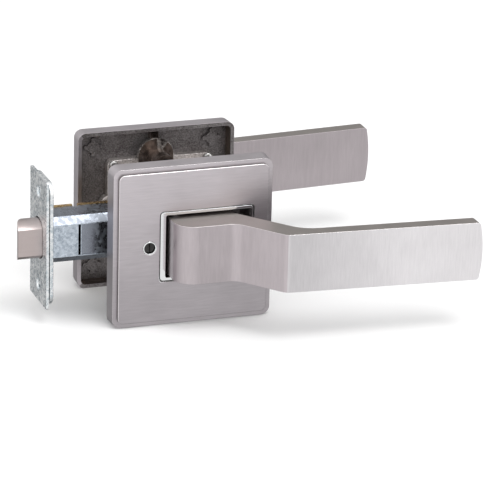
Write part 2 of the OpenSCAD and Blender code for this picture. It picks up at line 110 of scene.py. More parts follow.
class Shade:
    """A material's node tree, with short calls for the nodes that the finishes use."""

    # Noise seldom leaves these values, so they are stretched to 0 and 1.
    usual_low: float = 0.25
    usual_high: float = 0.75

    def __init__(self, name: str) -> None:
        """Starts an empty material with a Principled shader.

        Args:
            name: the material's name.
        """
        self.material = bpy.data.materials.new(name)
        self.material.use_nodes = True
        self.tree = self.material.node_tree
        self.shader = self.tree.nodes["Principled BSDF"]

    def link(self, out: Socket, into: Socket) -> None:
        """Joins two sockets."""
        self.tree.links.new(out, into)

    def place(self, stretch: Sequence[float] = (1, 1, 1)) -> Socket:
        """Object coordinates, scaled.

        Args:
            stretch: scale along X, Y and Z.

        Returns:
            The vector socket.
        """
        coord = self.tree.nodes.new("ShaderNodeTexCoord")
        mapping = self.tree.nodes.new("ShaderNodeMapping")
        mapping.inputs["Scale"].default_value = stretch
        self.link(coord.outputs["Object"], mapping.inputs["Vector"])
        return mapping.outputs["Vector"]

    def noise(self, vector: Socket, scale: float, detail: float, rough: float) -> Socket:
        """Noise between 0 and 1.

        Args:
            vector: where the noise is read.
            scale: how many features in a metre, before the vector's own scale.
            detail: octaves.
            rough: weight of the small octaves.

        Returns:
            The factor socket.
        """
        node = self.tree.nodes.new("ShaderNodeTexNoise")
        node.inputs["Scale"].default_value = scale
        node.inputs["Detail"].default_value = detail
        node.inputs["Roughness"].default_value = rough
        self.link(vector, node.inputs["Vector"])
        return node.outputs["Fac"]

    def slope(self, towards: Sequence[float]) -> Socket:
        """A value that is a half at the origin and rises along a direction, kept between 0 and 1.

        Args:
            towards: the rise in a metre along X, Y and Z.

        Returns:
            The value socket.
        """
        dot = self.tree.nodes.new("ShaderNodeVectorMath")
        dot.operation = "DOT_PRODUCT"
        dot.inputs[1].default_value = towards
        self.link(self.place(), dot.inputs[0])
        lift = self.tree.nodes.new("ShaderNodeMath")
        lift.operation = "ADD"
        lift.use_clamp = True
        lift.inputs[1].default_value = 0.5
        self.link(dot.outputs["Value"], lift.inputs[0])
        return lift.outputs[0]

    def cells(self, vector: Socket, scale: float) -> Socket:
        """A flat random value for each cell of a Voronoi pattern.

        Args:
            vector: where the pattern is read.
            scale: how many cells in a metre.

        Returns:
            The value socket.
        """
        node = self.tree.nodes.new("ShaderNodeTexVoronoi")
        node.inputs["Scale"].default_value = scale
        self.link(vector, node.inputs["Vector"])
        split = self.tree.nodes.new("ShaderNodeSeparateColor")
        self.link(node.outputs["Color"], split.inputs["Color"])
        return split.outputs["Red"]

    def spread(self, value: Socket, low: float, high: float) -> Socket:
        """Maps the middle of a 0 to 1 value onto a range.

        Args:
            value: the pattern.
            low: the range's start.
            high: the range's end.

        Returns:
            The result socket.
        """
        node = self.tree.nodes.new("ShaderNodeMapRange")
        node.inputs["From Min"].default_value = self.usual_low
        node.inputs["From Max"].default_value = self.usual_high
        node.inputs["To Min"].default_value = low
        node.inputs["To Max"].default_value = high
        self.link(value, node.inputs["Value"])
        return node.outputs["Result"]

    def steep(self, value: Socket) -> Socket:
        """Stretches the middle of a 0 to 1 value, for a pattern with more contrast."""
        return self.spread(self.spread(value, 0.0, 1.0), 0.0, 1.0)

    def mixed(self, factor: Socket, one: Colour, two: Colour) -> Socket:
        """Mixes two colours by a pattern.

        Args:
            factor: the pattern.
            one: the colour where it is 0.
            two: the colour where it is 1.

        Returns:
            The colour socket.
        """
        node = self.tree.nodes.new("ShaderNodeMix")
        node.data_type = "RGBA"
        node.inputs[6].default_value = (*one, 1)
        node.inputs[7].default_value = (*two, 1)
        self.link(factor, node.inputs[0])
        return node.outputs[2]

    def blend(self, share: float, one: Socket, two: Socket) -> Socket:
        """Mixes two patterns.

        Args:
            share: how much of the second goes in, from 0 to 1.
            one: the first pattern.
            two: the second pattern.

        Returns:
            The value socket.
        """
        node = self.tree.nodes.new("ShaderNodeMix")
        node.inputs[0].default_value = share
        self.link(one, node.inputs[2])
        self.link(two, node.inputs[3])
        return node.outputs[0]

    def bump(self, height: Socket, strength: float, distance: float) -> None:
        """Bumps the surface.

        Args:
            height: the pattern.
            strength: 0 to 1.
            distance: depth of the pattern in metres.
        """
        node = self.tree.nodes.new("ShaderNodeBump")
        node.inputs["Strength"].default_value = strength
        node.inputs["Distance"].default_value = distance
        self.link(height, node.inputs["Height"])
        self.link(node.outputs["Normal"], self.shader.inputs["Normal"])


class Patterns(NamedTuple):
    """The three patterns of a finish, each from 0 to 1."""

    colour: Socket
    roughness: Socket
    relief: Socket


@dataclass(frozen=True)
class Finish:
    """A named metal finish, whose material is built once and kept."""

    name: str
    light: Colour = (0.8, 0.8, 0.8)
    dark: Colour = (0.5, 0.5, 0.5)
    smoothest: float = 0.3
    roughest: float = 0.4
    relief: float = 0.3
    depth: float = 0.00002
    metallic: float = 1.0

    def material(self) -> bpy.types.Material:
        """The finish's material, made at its first use."""
        known = bpy.data.materials.get(self.name)
        return known if known else self.build()

    def build(self) -> bpy.types.Material:
        """Builds the material from the finish's patterns.

        Returns:
            The new material.
        """
        shade = Shade(self.name)
        patterns = self.patterns(shade)
        colour = shade.mixed(patterns.colour, self.dark, self.light)
        roughness = shade.spread(patterns.roughness, self.smoothest, self.roughest)
        shade.link(colour, shade.shader.inputs["Base Color"])
        shade.link(roughness, shade.shader.inputs["Roughness"])
        shade.bump(patterns.relief, self.relief, self.depth)
        shade.shader.inputs["Metallic"].default_value = self.metallic
        return shade.material

    def patterns(self, shade: Shade) -> Patterns:
        """The finish's patterns, which each kind of finish makes in its own way."""
        raise NotImplementedError


@dataclass(frozen=True)
class BrushedNickel(Finish):
    """Satin nickel with drawn lines, cloudy over some centimetres, which may grow lighter one way: a painted
    reflection.
    """

    light: Colour = (0.74, 0.69, 0.69)
    dark: Colour = (0.60, 0.55, 0.555)
    smoothest: float = 0.30
    roughest: float = 0.42
    relief: float = 0.35
    depth: float = 0.00004
    grain: Grain = Grain.LEVEL
    lines_per_m: float = 900.0
    finer: float = 2.1
    fine_share: float = 0.4
    clouds_per_m: float = 45.0
    cloud_share: float = 0.35
    fade: Triple = (0.0, 0.0, 0.0)
    fade_share: float = 0.8

    def patterns(self, shade: Shade) -> Patterns:
        """Two sets of lines, a cloud and the slope of painted reflection.

        Args:
            shade: the material to build them in.

        Returns:
            The patterns.
        """
        vector = shade.place([1 / length for length in self.grain.value])
        coarse = shade.noise(vector, self.lines_per_m, detail=4, rough=0.7)
        fine = shade.noise(vector, self.lines_per_m * self.finer, detail=2, rough=0.6)
        lines = shade.blend(self.fine_share, coarse, fine)
        cloud = shade.noise(shade.place(), self.clouds_per_m, detail=2, rough=0.5)
        brushed = shade.steep(shade.blend(self.cloud_share, lines, cloud))
        # The slope is painted reflection: the part grows lighter one way.
        colour = shade.blend(self.fade_share, brushed, shade.slope(self.fade))
        return Patterns(colour, lines, lines)


@dataclass(frozen=True)
class PolishedChrome(Finish):
    """Bright chrome with faint buffing marks."""

    light: Colour = (0.93, 0.94, 0.96)
    dark: Colour = (0.80, 0.81, 0.84)
    smoothest: float = 0.06
    roughest: float = 0.16
    relief: float = 0.1
    depth: float = 0.00001
    stretch: Triple = (1, 1, 0.3)
    marks_per_m: float = 900.0

    def patterns(self, shade: Shade) -> Patterns:
        """The buffing marks alone."""
        marks = shade.noise(shade.place(self.stretch), self.marks_per_m, detail=4, rough=0.6)
        return Patterns(marks, marks, marks)


@dataclass(frozen=True)
class CastZinc(Finish):
    """Unpolished, granular die casting."""

    light: Colour = (0.30, 0.28, 0.28)
    dark: Colour = (0.09, 0.08, 0.08)
    smoothest: float = 0.38
    roughest: float = 0.62
    relief: float = 0.7
    depth: float = 0.0003
    metallic: float = 0.85
    grain_per_m: float = 1700.0
    patches_per_m: float = 110.0
    patch_share: float = 0.3

    def patterns(self, shade: Shade) -> Patterns:
        """Fine grit with wide patches.

        Args:
            shade: the material to build them in.

        Returns:
            The patterns.
        """
        vector = shade.place()
        grit = shade.noise(vector, self.grain_per_m, detail=3, rough=0.65)
        patch = shade.noise(vector, self.patches_per_m, detail=3, rough=0.55)
        return Patterns(shade.steep(shade.blend(self.patch_share, grit, patch)), grit, grit)


@dataclass(frozen=True)
class BandedCast(Finish):
    """The drafted walls inside a casting, with dark and brown bands that follow the rim."""

    light: Colour = (0.34, 0.27, 0.22)
    dark: Colour = (0.03, 0.022, 0.02)
    smoothest: float = 0.3
    roughest: float = 0.55
    relief: float = 0.5
    depth: float = 0.0003
    metallic: float = 0.85
    stretch: Triple = (0.03, 1.0, 0.03)
    bands_per_m: float = 900.0
    grit_per_m: float = 1500.0
    grit_share: float = 0.25

    def patterns(self, shade: Shade) -> Patterns:
        """Bands with some grit.

        Args:
            shade: the material to build them in.

        Returns:
            The patterns.
        """
        bands = shade.noise(shade.place(self.stretch), self.bands_per_m, detail=3, rough=0.7)
        grit = shade.noise(shade.place(), self.grit_per_m, detail=2, rough=0.6)
        return Patterns(shade.steep(shade.blend(self.grit_share, bands, grit)), bands, bands)


@dataclass(frozen=True)
class ZincPlate(Finish):
    """Galvanised or zinc-plated sheet with crystal spangle."""

    light: Colour = (0.76, 0.83, 0.88)
    dark: Colour = (0.47, 0.53, 0.58)
    smoothest: float = 0.24
    roughest: float = 0.46
    relief: float = 0.35
    depth: float = 0.00006
    spangle_per_m: float = 620.0
    mottle_per_m: float = 520.0
    mottle_share: float = 0.6
    patches_per_m: float = 140.0
    patch_share: float = 0.4

    def patterns(self, shade: Shade) -> Patterns:
        """Crystal cells under a mottle with wide patches.

        Args:
            shade: the material to build them in.

        Returns:
            The patterns.
        """
        vector = shade.place()
        cells = shade.steep(shade.cells(vector, self.spangle_per_m))
        mottle = shade.noise(vector, self.mottle_per_m, detail=4, rough=0.7)
        patch = shade.noise(vector, self.patches_per_m, detail=2, rough=0.5)
        stained = shade.steep(shade.blend(self.patch_share, mottle, patch))
        colour = shade.blend(self.mottle_share, cells, stained)
        return Patterns(colour, colour, mottle)


@dataclass(frozen=True)
class DrawnSteel(Finish):
    """Oiled bar, pin or wire with fine marks drawn out along Y."""

    light: Colour = (0.56, 0.55, 0.54)
    dark: Colour = (0.33, 0.325, 0.32)
    smoothest: float = 0.22
    roughest: float = 0.4
    relief: float = 0.25
    depth: float = 0.00002
    stretch: Triple = (1, 0.15, 1)
    marks_per_m: float = 1600.0
    patches_per_m: float = 160.0
    patch_share: float = 0.5

    def patterns(self, shade: Shade) -> Patterns:
        """Drawn marks with wide patches.

        Args:
            shade: the material to build them in.

        Returns:
            The patterns.
        """
        marks = shade.noise(shade.place(self.stretch), self.marks_per_m, detail=3, rough=0.6)
        patch = shade.noise(shade.place(), self.patches_per_m, detail=2, rough=0.5)
        return Patterns(shade.blend(self.patch_share, marks, patch), marks, marks)


# The panel nickel's slope is a painted reflection, lighter towards the top and a little towards the left, on
# the rose's front and the thumb turn.
PANEL_NICKEL = BrushedNickel(
    "panel_nickel", light=(0.74, 0.69, 0.72), dark=(0.28, 0.26, 0.272), depth=0.00006, fade=(-1.5, 0.0, 8.0)
)
# Dark nickel for the side faces of the step round the front panel: painted shade in the crevice.
STEP_SHADE_NICKEL = BrushedNickel("step_nickel", light=(0.26, 0.24, 0.24), dark=(0.14, 0.13, 0.13))
# The lever nickel's slope is a painted reflection, lighter towards the tip.
LEVER_NICKEL = BrushedNickel(
    "lever_nickel", light=(0.90, 0.875, 0.89), dark=(0.05, 0.04, 0.05), grain=Grain.UPRIGHT,
    lines_per_m=1300.0, fade=(6.0, 0.0, 0.0), fade_share=0.88
)
# Brighter and smoother nickel for rounded edges: a painted highlight along them.
HIGHLIGHT_NICKEL = BrushedNickel(
    "edge_nickel", light=(1.0, 0.98, 0.97), dark=(0.78, 0.75, 0.75), smoothest=0.16, roughest=0.26
)
# A darker copy of the lever nickel for the hub and the faces towards the door: painted shade.
SHADED_LEVER_NICKEL = BrushedNickel(
    "hub_nickel", light=(0.69, 0.625, 0.65), dark=(0.30, 0.27, 0.278), grain=Grain.UPRIGHT,
    lines_per_m=1000.0
)
# Darker, warmer nickel for the levers' top and bottom faces: painted shade.
SHADED_TOP_NICKEL = BrushedNickel("top_nickel", light=(0.58, 0.53, 0.50), dark=(0.27, 0.245, 0.23))
BOLT_NICKEL = BrushedNickel(
    "bolt_nickel", light=(0.66, 0.575, 0.565), dark=(0.42, 0.365, 0.35), lines_per_m=600.0
)
CHROME = PolishedChrome("polished_chrome")
ROUGH_CAST = CastZinc("rough_cast")
BRIGHT_CAST = CastZinc("bright_cast", light=(0.80, 0.76, 0.74), dark=(0.26, 0.23, 0.22), metallic=0.9)
POST_CAST = CastZinc(
    "post_cast", light=(0.30, 0.24, 0.21), dark=(0.08, 0.06, 0.05), grain_per_m=420.0, depth=0.00006,
    smoothest=0.12, roughest=0.24
)
# Near-white and near-black casting on the ring round each bolt post: painted glints, a painted highlight.
RING_GLINT_CAST = CastZinc(
    "ring_cast", light=(0.95, 0.90, 0.86), dark=(0.06, 0.05, 0.045), grain_per_m=520.0, depth=0.0002,
    smoothest=0.14, roughest=0.3
)
WALL_CAST = BandedCast("wall_cast")
SPANGLED_ZINC = ZincPlate(
    "spangled_zinc", light=(1.0, 1.0, 1.0), dark=(0.50, 0.57, 0.61), spangle_per_m=1100.0
)
CASE_ZINC = ZincPlate("case_zinc", light=(0.72, 0.79, 0.87), dark=(0.33, 0.38, 0.44), spangle_per_m=1100.0)
# A darker zinc for the case's recess, and painted shade on its chamfers, top and bottom.
RECESS_AND_SHADE_ZINC = ZincPlate("blue_zinc", light=(0.34, 0.37, 0.42), dark=(0.24, 0.26, 0.30), spangle_per_m=700.0)
YELLOW_ZINC = ZincPlate(
    "yellow_zinc", light=(0.70, 0.50, 0.25), dark=(0.42, 0.27, 0.12), spangle_per_m=300.0
)
OILED_STEEL = DrawnSteel("oiled_steel")
# Near-black steel for the slotted release pin: painted shade deep in the release hole.
SHADED_PIN_STEEL = DrawnSteel("black_oxide", light=(0.10, 0.098, 0.096), dark=(0.02, 0.02, 0.02))
SPRING_WIRE = DrawnSteel("spring_wire", light=(0.45, 0.46, 0.48), dark=(0.24, 0.25, 0.27))


# ---------- mesh tools ----------


def new_piece(name: str, mesh: bpy.types.Mesh) -> bpy.types.Object:
    """Puts a mesh in the scene as a piece at the origin.

    Args:
        name: the piece's name.
        mesh: its mesh, already in place.

    Returns:
        The new object.
    """
    mesh.name = name
    piece = bpy.data.objects.new(name, mesh)
    bpy.context.scene.collection.objects.link(piece)
    return piece


def merged_copy(node: str) -> bmesh.types.BMesh:
    """A copy of a frame node's mesh with its loose triangles joined and its flat faces made whole.

    Args:
        node: the node's name.

    Returns:
        The copy, to be freed by the caller.
    """
    work = bmesh.new()
    work.from_mesh(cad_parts[node].data)
    bmesh.ops.remove_doubles(work, verts=work.verts, dist=MERGE_DISTANCE)
    bmesh.ops.dissolve_limit(
        work, angle_limit=FLAT_ANGLE, verts=work.verts, edges=work.edges, delimit=set()
    )
    return work


def sharp_edges(
    work: bmesh.types.BMesh, test: EdgeTest | None = None, angle: float = CORNER_ANGLE
) -> list[bmesh.types.BMEdge]:
    """Outward corners sharper than an angle.

    Args:
        work: the mesh.
        test: keeps only the edges whose two ends pass it.
        angle: the least angle in radians.

    Returns:
        The edges.
    """
    found = []
    for edge in work.edges:
        if len(edge.link_faces) != 2 or not edge.is_convex or edge.calc_face_angle(0) < angle:
            continue
        if test is None or test(edge.verts[0].co, edge.verts[1].co):
            found.append(edge)
    return found


def round_over(
    work: bmesh.types.BMesh, edges: Sequence[bmesh.types.BMEdge], width: float, steps: int = 3
) -> None:
    """Rounds edges over.

    Args:
        work: the mesh.
        edges: what to round.
        width: how far the round reaches over each face, in metres.
        steps: segments of the round.
    """
    bmesh.ops.bevel(
        work, geom=list(edges), offset=width, offset_type="OFFSET", segments=steps, profile=0.5,
        affect="EDGES", clamp_overlap=True, loop_slide=True
    )


def finish_mesh(work: bmesh.types.BMesh) -> bpy.types.Mesh:
    """Turns the work mesh into a plain one with smooth shading and sharp corners kept.

    Args:
        work: the mesh, which is freed.

    Returns:
        The finished mesh.
    """
    bmesh.ops.dissolve_degenerate(work, dist=SLIVER, edges=work.edges)
    mesh = bpy.data.meshes.new("work")
    work.to_mesh(mesh)
    work.free()
    mesh.polygons.foreach_set("use_smooth", [True] * len(mesh.polygons))
    mesh.set_sharp_from_angle(angle=SMOOTH_ANGLE)
    return mesh


def bake_modifiers(piece: bpy.types.Object) -> None:
    """Writes a piece's modifiers into its mesh and removes them.

    Args:
        piece: the piece.
    """
    bpy.context.view_layer.update()
    graph = bpy.context.evaluated_depsgraph_get()
    mesh = bpy.data.meshes.new_from_object(
        piece.evaluated_get(graph), preserve_all_data_layers=True, depsgraph=graph
    )
    piece.modifiers.clear()
    piece.data = mesh


def finished_piece(name: str, work: bmesh.types.BMesh) -> bpy.types.Object:
    """Makes a piece of the work mesh, with its large flat faces kept flat beside their rounded edges.

    Args:
        name: the piece's name.
        work: the mesh, which is freed.

    Returns:
        The piece, not yet painted.
    """
    piece = new_piece(name, finish_mesh(work))
    modifier = piece.modifiers.new("weigh", "WEIGHTED_NORMAL")
    modifier.keep_sharp = True
    bake_modifiers(piece)
    return piece


def paint(piece: bpy.types.Object, base: Finish, *others: tuple[Finish, FaceTest]) -> None:
    """Gives a piece its finishes.

    Args:
        piece: the piece.
        base: the finish of every face that no test picks.
        others: pairs of a finish and the test that picks its faces by centre and normal.
    """
    mesh = piece.data
    mesh.materials.clear()
    mesh.materials.append(base.material())
    for finish, _ in others:
        mesh.materials.append(finish.material())
    for face in mesh.polygons:
        face.material_index = 0
        for index, (_, test) in enumerate(others, start=1):
            if test(face.center, face.normal):
                face.material_index = index


def settle(piece: bpy.types.Object, body: str, node: str) -> None:
    """Hangs a piece on the body that it rides on, hides the frame node that it replaces, and reports it.

    Args:
        piece: the finished piece.
        body: the body that it rides on.
        node: the frame node that it replaces.
    """
    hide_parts(node)
    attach(piece, body)
    LOG.info("%s: %d faces on %s", piece.name, len(piece.data.polygons), body)


def rounded_copy(
    node: str, name: str, width: float, steps: int = 3, angle: float = math.radians(40)
) -> bpy.types.Object:
    """A piece with a node's shape and all its outward corners rounded.

    Args:
        node: the node to copy.
        name: the piece's name.
        width: reach of the round in metres.
        steps: segments of the round.
        angle: the least corner angle in radians.

    Returns:
        The piece, not yet painted.
    """
    work = merged_copy(node)
    round_over(work, sharp_edges(work, angle=angle), width, steps)
    return finished_piece(name, work)


def is_rounded(share: float) -> bool:
    """Whether a normal's share along an axis is that of a rounded edge."""
    return ROUND_FROM < share < ROUND_TO


# ---------- geometry node trees ----------


class NodeTree:
    """A Geometry Nodes group with named inputs, built call by call."""

    def __init__(self, name: str) -> None:
        """Starts a group with a geometry going in and out.

        Args:
            name: the group's name.
        """
        self.group = bpy.data.node_groups.new(name, "GeometryNodeTree")
        self.identifiers: dict[str, str] = {}
        self.declare("Geometry", "NodeSocketGeometry")
        self.group.interface.new_socket(
            name="Geometry", in_out="OUTPUT", socket_type="NodeSocketGeometry"
        )
        self.inputs = self.group.nodes.new("NodeGroupInput")
        self.output = self.group.nodes.new("NodeGroupOutput")

    def declare(self, name: str, kind: str = "NodeSocketFloat") -> None:
        """Adds a named input.

        Args:
            name: the input's name.
            kind: its socket type.
        """
        socket = self.group.interface.new_socket(name=name, in_out="INPUT", socket_type=kind)
        self.identifiers[name] = socket.identifier

    def value(self, name: str) -> Socket:
        """The group input with that name."""
        return self.inputs.outputs[name]

    def node(self, kind: str, ports: dict[str | int, object], **settings: object) -> bpy.types.Node:
        """Adds a node.

        Args:
            kind: the node's type, a Shader one in full and others without the GeometryNode before it.
            ports: what goes into its sockets, by name or place: sockets are linked, values are set.
            settings: properties of the node.

        Returns:
            The node.
        """
        full = kind if kind.startswith("Shader") else "GeometryNode" + kind
        made = self.group.nodes.new(full)
        for key, setting in settings.items():
            setattr(made, key, setting)
        for port, feed in ports.items():
            socket = made.inputs[port]
            for one in feed if isinstance(feed, list) else [feed]:
                if isinstance(one, Socket):
                    self.group.links.new(one, socket)
                else:
                    socket.default_value = one
        return made

    def maths(self, operation: str, first: object, second: object = 0.0) -> Socket:
        """A Math node's result."""
        return self.node("ShaderNodeMath", {0: first, 1: second}, operation=operation).outputs[0]

    def vector(self, x: object = 0.0, y: object = 0.0, z: object = 0.0) -> Socket:
        """A vector of three values or sockets."""
        return self.node("ShaderNodeCombineXYZ", {0: x, 1: y, 2: z}).outputs[0]

    def lifted(self, part: bpy.types.Node, height: object, squeeze: object = 1.0) -> bpy.types.Node:
        """Moves a part along Z.

        Args:
            part: the node that makes the part.
            height: how far it goes up.
            squeeze: scale of the part along Z, before it moves.

        Returns:
            The Transform node.
        """
        return self.node("Transform", {
            "Geometry": part.outputs[0], "Scale": self.vector(1.0, 1.0, squeeze),
            "Translation": self.vector(0.0, 0.0, height),
        })

    def set_out(self, part: bpy.types.Node) -> None:
        """Turns a part, puts it on each point that comes in and ends the tree.

        Args:
            part: the node that makes the part.
        """
        turned = self.node("Transform", {"Geometry": part.outputs[0], "Rotation": self.value("Turned")})
        placed = self.node("InstanceOnPoints", {
            "Points": self.value("Geometry"), "Instance": turned.outputs[0],
        })
        self.close(placed.outputs[0])

    def close(self, geometry: Socket) -> None:
        """Ends the tree in Realize Instances and Set Material.

        Args:
            geometry: what the tree has made.
        """
        real = self.node("RealizeInstances", {"Geometry": geometry})
        done = self.node("SetMaterial", {"Geometry": real.outputs[0], "Material": self.value("Material")})
        self.group.links.new(done.outputs[0], self.output.inputs[0])

    def run(self, name: str, start: bpy.types.Mesh, sizes: dict[str, object]) -> bpy.types.Object:
        """Runs the tree on a mesh and keeps the result as a plain mesh.

        Args:
            name: the piece's name.
            start: the mesh that goes in.
            sizes: the value of each named input.

        Returns:
            The piece, with no modifier left.
        """
        piece = new_piece(name, start)
        modifier = piece.modifiers.new(self.group.name, "NODES")
        modifier.node_group = self.group
        for key, size in sizes.items():
            modifier[self.identifiers[key]] = size
        bake_modifiers(piece)
        piece.data.name = name
        return piece


def points_mesh(places: Sequence[Sequence[float]]) -> bpy.types.Mesh:
    """A mesh of loose points.

    Args:
        places: where the points are.

    Returns:
        The mesh.
    """
    mesh = bpy.data.meshes.new("places")
    mesh.from_pydata([tuple(place) for place in places], [], [])
    return mesh


@dataclass(frozen=True)
class FastenerSizes:
    """Sizes of a screw or rivet, in metres, each an input of the fastener tree."""

    head_radius: float
    head_height: float
    rim_height: float
    shank_radius: float
    shank_length: float
    recess_length: float
    recess_width: float
    recess_depth: float


def input_name(size: str) -> str:
    """The tree's input for a size."""
    return size.replace("_", " ").title()


def spring_tree() -> NodeTree:
    """A helical wire on each point that goes in, from that point along the piece's axis.

    Returns:
        The tree.
    """
    steps_a_turn = 28
    wire_sides = 10
    tree = NodeTree("coil_spring")
    for name in ("Coil Radius", "Wire Radius", "Turns", "Length"):
        tree.declare(name)
    tree.declare("Turned", "NodeSocketVector")
    tree.declare("Material", "NodeSocketMaterial")
    radius = tree.value("Coil Radius")
    wire = tree.value("Wire Radius")
    rise = tree.maths("SUBTRACT", tree.value("Length"), tree.maths("MULTIPLY", wire, 2.0))
    helix = tree.node("CurveSpiral", {
        "Resolution": steps_a_turn, "Rotations": tree.value("Turns"),
        "Start Radius": radius, "End Radius": radius, "Height": rise,
    })
    lifted = tree.lifted(helix, wire)
    round_wire = tree.node("CurvePrimitiveCircle", {"Resolution": wire_sides, "Radius": wire})
    swept = tree.node("CurveToMesh", {
        "Curve": lifted.outputs[0], "Profile Curve": round_wire.outputs[0], "Fill Caps": True,
    })
    tree.set_out(tree.node("SetShadeSmooth", {"Geometry": swept.outputs[0]}))
    return tree


def fastener_tree() -> NodeTree:
    """A domed head with a cross recess on a shank, on each point that goes in, under the head at that point.

    Returns:
        The tree.
    """
    sides = 40
    rings = 24
    tree = NodeTree("headed_fastener")
    for size in fields(FastenerSizes):
        tree.declare(input_name(size.name))
    tree.declare("Turned", "NodeSocketVector")
    tree.declare("Material", "NodeSocketMaterial")
    head, high, rim = (tree.value(name) for name in ("Head Radius", "Head Height", "Rim Height"))
    shank, length = tree.value("Shank Radius"), tree.value("Shank Length")
    dome = tree.node("MeshUVSphere", {"Segments": sides, "Rings": rings, "Radius": head})
    crown = tree.maths("DIVIDE", tree.maths("SUBTRACT", high, rim), head)
    domed = tree.lifted(dome, rim, crown)
    collar = tree.node("MeshCylinder", {"Vertices": sides, "Radius": head, "Depth": rim})
    lifted = tree.lifted(collar, tree.maths("MULTIPLY", rim, 0.5))
    stem = tree.node("MeshCylinder", {"Vertices": sides, "Radius": shank, "Depth": length})
    sunk = tree.lifted(stem, tree.maths("MULTIPLY", length, -0.5))
    under = tree.node("MeshCube", {"Size": tree.vector(*[tree.maths("MULTIPLY", head, 4.0)] * 3)})
    below = tree.lifted(under, tree.maths("MULTIPLY", head, -2.0))
    cap = tree.node(
        "MeshBoolean", {"Mesh 1": domed.outputs[0], "Mesh 2": below.outputs[0]}, operation="DIFFERENCE"
    )
    whole = tree.node(
        "MeshBoolean", {"Mesh 2": [cap.outputs[0], lifted.outputs[0], sunk.outputs[0]]}, operation="UNION"
    )
    deep = tree.maths("MULTIPLY", tree.value("Recess Depth"), 2.0)
    wide, long = tree.value("Recess Width"), tree.value("Recess Length")
    arms = []
    for size in (tree.vector(long, wide, deep), tree.vector(wide, long, deep)):
        arms.append(tree.lifted(tree.node("MeshCube", {"Size": size}), high).outputs[0])
    cut = tree.node("MeshBoolean", {"Mesh 1": whole.outputs[0], "Mesh 2": arms}, operation="DIFFERENCE")
    tree.set_out(cut)
    return tree


def skin_tree() -> NodeTree:
    """The fine unevenness of a rough casting: each face is divided and its points follow a fixed noise.

    Returns:
        The tree.
    """
    # The value that leaves a point where it is.
    middle = 0.62
    tree = NodeTree("casting_skin")
    for name in ("Depth", "Grains per Metre"):
        tree.declare(name)
    tree.declare("Level", "NodeSocketInt")
    tree.declare("Material", "NodeSocketMaterial")
    fine = tree.node("SubdivideMesh", {"Mesh": tree.value("Geometry"), "Level": tree.value("Level")})
    noise = tree.node("ShaderNodeTexNoise", {
        "Scale": tree.value("Grains per Metre"), "Detail": 3.0, "Roughness": 0.6,
    })
    swing = tree.maths("SUBTRACT", noise.outputs[0], middle)
    normal = tree.node("InputNormal", {})
    push = tree.node(
        "ShaderNodeVectorMath",
        {0: normal.outputs[0], "Scale": tree.maths("MULTIPLY", swing, tree.value("Depth"))},
        operation="SCALE",
    )
    moved = tree.node("SetPosition", {"Geometry": fine.outputs[0], "Offset": push.outputs[0]})
    smooth = tree.node("SetShadeSmooth", {"Geometry": moved.outputs[0]})
    tree.close(smooth.outputs[0])
    return tree


@dataclass
class NodeTrees:
    """The three trees, built once."""

    spring: NodeTree
    fastener: NodeTree
    skin: NodeTree

    @classmethod
    def build(cls) -> "NodeTrees":
        """Builds them all."""
        return cls(spring_tree(), fastener_tree(), skin_tree())

    def set_fasteners(
        self, name: str, sizes: FastenerSizes, places: Sequence[Sequence[float]], turn: float
    ) -> bpy.types.Object:
        """Puts a row of screws or rivets in place.

        Args:
            name: the piece's name.
            sizes: their sizes.
            places: the points under their heads.
            turn: rotation about X that points their heads the right way, in radians.

        Returns:
            The piece.
        """
        inputs = {input_name(size.name): getattr(sizes, size.name) for size in fields(sizes)}
        inputs["Turned"] = (turn, 0.0, 0.0)
        inputs["Material"] = OILED_STEEL.material()
        piece = self.fastener.run(name, points_mesh(places), inputs)
        piece.data.set_sharp_from_angle(angle=SMOOTH_ANGLE)
        return piece


# ---------- sub-assemblies ----------


def named(side: Side, word: str) -> str:
    """The name of one side's node, body or piece."""
    return side.name.lower() + "_" + word


def corner_spots(node: str, inset: float, seat: float) -> list[Triple]:
    """Four points inside the corners of a node's box.

    Args:
        node: the node's name.
        inset: how far they lie inside its sides.
        seat: their place along Y.

    Returns:
        The points.
    """
    low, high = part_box(node)
    return [
        (x, seat, z)
        for x in (low[0] + inset, high[0] - inset)
        for z in (low[2] + inset, high[2] - inset)
    ]


